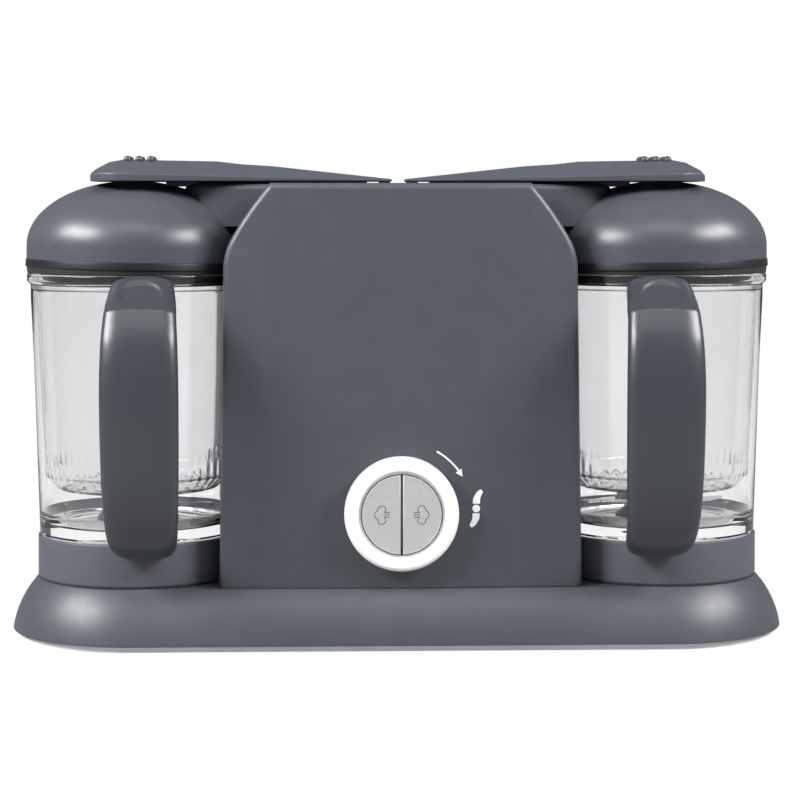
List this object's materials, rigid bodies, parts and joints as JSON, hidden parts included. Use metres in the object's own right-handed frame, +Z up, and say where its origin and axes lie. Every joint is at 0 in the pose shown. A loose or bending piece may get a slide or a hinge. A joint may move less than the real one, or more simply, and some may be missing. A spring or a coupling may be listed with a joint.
{
  "type": "baby food maker",
  "caption": "Countertop baby food steamer and blender: a central control tower on a wide base between two clear bowls with domed, lever-locked lids and front handles.",
  "frame": {"origin": "on the table under the middle of the appliance's box", "axes": "+Z up, -Y towards the user (the knob and the handles), +X to the user's right"},
  "size_m": [0.395, 0.2141, 0.2436],
  "materials": {
    "slate_plastic": "dark slate blue-grey satin moulding with a fine grain",
    "dark_plastic": "near-black satin moulding",
    "collar_plastic": "warm mid-grey satin moulding",
    "tray_plastic": "light grey satin moulding",
    "clear_plastic": "clear, polished, thick at the floor and rim",
    "white_plastic": "glossy white",
    "silver_buttons": "satin brushed silver",
    "black_rubber": "matt black",
    "steel": "brushed stainless steel",
    "grey_nylon": "grey nylon",
    "hub_plastic": "dark grey, smooth",
    "motor_metal": "dark painted can",
    "bronze": "sintered bronze",
    "heater_metal": "cast aluminium",
    "board_green": "green circuit board",
    "switch_black": "black"
  },
  "bodies": {
    "stand": {"base_shell": "slate_plastic", "base_tray": "tray_plastic", "rubber_feet": "black_rubber", "tray_screws": "steel", "front_cover": "slate_plastic", "side_panels": "slate_plastic", "rear_cover": "slate_plastic", "deck": "dark_plastic", "hinge_pins": "steel", "cord_gland": "black_rubber", "control_board": "board_green", "switches": "switch_black", "button_carrier": "silver_buttons", "knob_spring": "steel", "button_springs": "steel", "motor": "motor_metal", "motor_bracket": "steel", "drive_belt": "black_rubber", "spindle_bush": "bronze", "boiler_cup_left": "steel", "boiler_cup_right": "steel", "heater_left": "heater_metal", "heater_right": "heater_metal"},
    "knob": {"knob_ring": "white_plastic"},
    "steam_button_left": {"steam_button_left": "silver_buttons"},
    "steam_button_right": {"steam_button_right": "silver_buttons"},
    "rotor": {"motor_shaft": "steel", "motor_pulley": "grey_nylon"},
    "spindle": {"spindle": "steel", "spindle_pulley": "grey_nylon", "drive_dog": "grey_nylon"},
    "blade": {"blade": "steel", "blade_shaft": "steel", "blade_hub": "hub_plastic", "blade_coupling": "grey_nylon"},
    "bowl_left": {"bowl_left": "clear_plastic", "collar_left": "collar_plastic", "handle_left": "slate_plastic", "hub_cap_left": "hub_plastic"},
    "bowl_right": {"bowl_right": "clear_plastic", "collar_right": "collar_plastic", "handle_right": "slate_plastic", "bowl_bush": "bronze"},
    "basket_left": {"basket_left": "clear_plastic"},
    "basket_right": {"basket_right": "clear_plastic"},
    "lid_left": {"lid_left": "slate_plastic", "lid_band_left": "dark_plastic", "lid_seal_left": "black_rubber", "lid_liner_left": "white_plastic", "lid_bridge_left": "slate_plastic", "boiler_seal_left": "black_rubber"},
    "lever_left": {"lever_left": "slate_plastic"},
    "lid_right": {"lid_right": "slate_plastic", "lid_band_right": "dark_plastic", "lid_seal_right": "black_rubber", "lid_liner_right": "white_plastic", "lid_bridge_right": "slate_plastic", "boiler_seal_right": "black_rubber"},
    "lever_right": {"lever_right": "slate_plastic"}
  },
  "joints": [
    {"name": "lid_left_hinge", "type": "hinge", "parent": "stand", "child": "lid_left", "pos_m": [-0.007, 0, 0.2275], "axis": [0, 1, 0], "range_deg": [0, 65]},
    {"name": "lever_left_hinge", "type": "hinge", "parent": "lid_left", "child": "lever_left", "pos_m": [-0.007, 0, 0.2275], "axis": [0, 1, 0], "range_deg": [0, 15]},
    {"name": "bowl_left_lift", "type": "slide", "parent": "stand", "child": "bowl_left", "axis": [0, 0, 1], "range_m": [0, 0.061]},
    {"name": "basket_left_lift", "type": "slide", "parent": "bowl_left", "child": "basket_left", "axis": [0, 0, 1], "range_m": [0, 0.041]},
    {"name": "steam_button_left_press", "type": "slide", "parent": "stand", "child": "steam_button_left", "axis": [0, 1, 0], "range_m": [0, 0.0015], "stiffness_N_per_m": 800},
    {"name": "lid_right_hinge", "type": "hinge", "parent": "stand", "child": "lid_right", "pos_m": [0.007, 0, 0.2275], "axis": [0, -1, 0], "range_deg": [0, 65]},
    {"name": "lever_right_hinge", "type": "hinge", "parent": "lid_right", "child": "lever_right", "pos_m": [0.007, 0, 0.2275], "axis": [0, -1, 0], "range_deg": [0, 15]},
    {"name": "bowl_right_lift", "type": "slide", "parent": "stand", "child": "bowl_right", "axis": [0, 0, 1], "range_m": [0, 0.061]},
    {"name": "basket_right_lift", "type": "slide", "parent": "bowl_right", "child": "basket_right", "axis": [0, 0, 1], "range_m": [0, 0.041]},
    {"name": "steam_button_right_press", "type": "slide", "parent": "stand", "child": "steam_button_right", "axis": [0, 1, 0], "range_m": [0, 0.0015], "stiffness_N_per_m": 800},
    {"name": "knob_turn", "type": "hinge", "parent": "stand", "child": "knob", "pos_m": [0, -0.07, 0.0679], "axis": [0, 1, 0], "range_deg": [0, 40], "stiffness_Nm_per_rad": 0.05},
    {"name": "motor_spin", "type": "hinge", "parent": "stand", "child": "rotor", "pos_m": [0.03, 0.02, 0.06], "axis": [0, 0, 1], "continuous": true},
    {"name": "spindle_spin", "type": "hinge", "parent": "stand", "child": "spindle", "pos_m": [0.1334, -0.015, 0.02], "axis": [0, 0, 1], "continuous": true},
    {"name": "blade_spin", "type": "hinge", "parent": "bowl_right", "child": "blade", "pos_m": [0.1334, -0.015, 0.06], "axis": [0, 0, 1], "continuous": true}
  ],
  "couplings": [
    {"joint": "bowl_left_lift", "follows": "lid_left_hinge", "m_per_rad": 0.05},
    {"joint": "basket_left_lift", "follows": "lid_left_hinge", "m_per_rad": 0.025},
    {"joint": "bowl_right_lift", "follows": "lid_right_hinge", "m_per_rad": 0.05},
    {"joint": "basket_right_lift", "follows": "lid_right_hinge", "m_per_rad": 0.025},
    {"joint": "blade_spin", "follows": "spindle_spin", "ratio": 1},
    {"joint": "motor_spin", "follows": "spindle_spin", "ratio": 2.2222}
  ]
}
